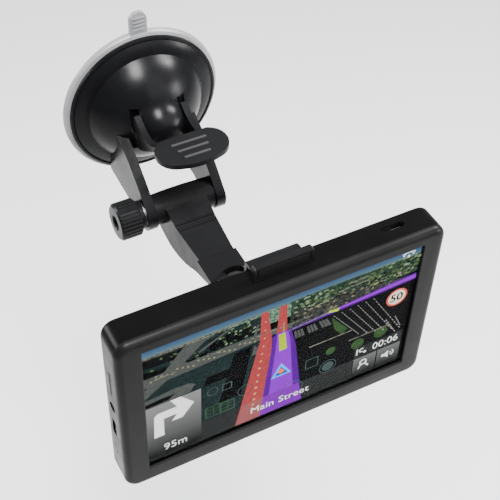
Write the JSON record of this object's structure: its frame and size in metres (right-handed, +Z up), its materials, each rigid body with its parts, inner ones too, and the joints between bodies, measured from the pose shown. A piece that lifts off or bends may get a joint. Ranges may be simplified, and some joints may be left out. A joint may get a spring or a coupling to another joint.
{
  "type": "portable gps navigator",
  "caption": "Thin in-vehicle navigator with a wide screen, held by a latch cradle, a ball joint and a tilting arm on a lever-lock suction cup.",
  "frame": {"origin": "centre of the suction pad's outer face", "axes": "+Y out of the pad, towards the windscreen; +Z up; the screen faces -Y"},
  "size_m": [0.1293, 0.124, 0.1169],
  "materials": {
    "housing_black": "fine satin moulded black plastic",
    "mount_black": "smooth satin black plastic, glossy on the dome",
    "latch_grey": "satin dark plastic",
    "pad_clear": "soft translucent grey vinyl",
    "liner_grey": "smooth grey nylon",
    "steel": "plated steel",
    "screw_black": "black oxide steel",
    "screen_glass": "clear touch glass with a faint sheen",
    "display": "lit display that shows a made-up map",
    "board_green": "green solder mask",
    "chip_black": "moulded black resin",
    "flex_amber": "amber polyimide",
    "battery_foil": "silver laminate pouch",
    "antenna_ceramic": "fired ceramic with a silvered face"
  },
  "bodies": {
    "mount_base": {"suction_pad": "pad_clear", "base_cover": "mount_black", "clamp_nut": "steel"},
    "plunger": {"plunger": "mount_black", "plunger_spring": "steel", "lever_pin": "steel"},
    "lever": {"lock_lever": "mount_black"},
    "knob": {"clamp_knob": "mount_black", "clamp_bolt": "steel", "clamp_washer": "steel"},
    "arm": {"extension_arm": "mount_black", "socket_cap": "mount_black", "socket_screws": "screw_black"},
    "liner": {"ball_liner": "liner_grey"},
    "ball": {"ball": "liner_grey"},
    "cradle": {"cradle_stud": "mount_black", "cradle_plate": "mount_black", "cradle_screws": "screw_black"},
    "latch": {"cradle_latch": "latch_grey"},
    "navigator": {"front_bezel": "housing_black", "rear_cover": "housing_black", "touch_panel": "screen_glass", "lcd_panel": "display", "lcd_frame": "steel", "display_flex": "flex_amber", "main_board": "board_green", "processor_chip": "chip_black", "memory_chips": "chip_black", "shield_can": "steel", "battery": "battery_foil", "gps_antenna": "antenna_ceramic", "speaker": "chip_black", "slide_switch": "chip_black", "headphone_jack": "chip_black", "usb_port": "steel", "card_slot": "steel", "case_screws": "screw_black"},
    "slider": {"power_slider": "housing_black"},
    "card": {"memory_card": "chip_black"}
  },
  "joints": [
    {"name": "lever_lock", "type": "hinge", "parent": "plunger", "child": "lever", "pos_m": [0, -0.0205, 0], "axis": [1, 0, 0], "range_deg": [0, 50]},
    {"name": "plunger_pull", "type": "slide", "parent": "mount_base", "child": "plunger", "axis": [0, -1, 0], "range_m": [0, 0.0016]},
    {"name": "knob_turn", "type": "hinge", "parent": "mount_base", "child": "knob", "pos_m": [0, -0.0374, -0.0259], "axis": [-1, 0, 0], "continuous": true},
    {"name": "arm_tilt", "type": "hinge", "parent": "mount_base", "child": "arm", "pos_m": [0, -0.0374, -0.0259], "axis": [1, 0, 0], "range_deg": [-40, 60]},
    {"name": "ball_yaw", "type": "hinge", "parent": "arm", "child": "liner", "pos_m": [0, -0.088, -0.028], "axis": [0, 0, 1], "range_deg": [-15, 15]},
    {"name": "ball_pitch", "type": "hinge", "parent": "liner", "child": "ball", "pos_m": [0, -0.088, -0.028], "axis": [1, 0, 0], "range_deg": [-15, 15]},
    {"name": "ball_roll", "type": "hinge", "parent": "ball", "child": "cradle", "pos_m": [0, -0.088, -0.028], "axis": [0, 1, 0], "range_deg": [-90, 90]},
    {"name": "latch_flex", "type": "hinge", "parent": "cradle", "child": "latch", "pos_m": [0, -0.111, -0.014], "axis": [-1, 0, 0], "range_deg": [0, 8], "stiffness_Nm_per_rad": 0.5},
    {"name": "navigator_release", "type": "slide", "parent": "cradle", "child": "navigator", "axis": [0, -1, 0], "range_m": [0, 0.04]},
    {"name": "power_slide", "type": "slide", "parent": "navigator", "child": "slider", "axis": [1, 0, 0], "range_m": [0, 0.005], "stiffness_N_per_m": 120},
    {"name": "card_eject", "type": "slide", "parent": "navigator", "child": "card", "axis": [-1, 0, 0], "range_m": [0, 0.012]}
  ],
  "couplings": [
    {"joint": "plunger_pull", "follows": "lever_lock", "m_per_rad": 0.0018335}
  ]
}
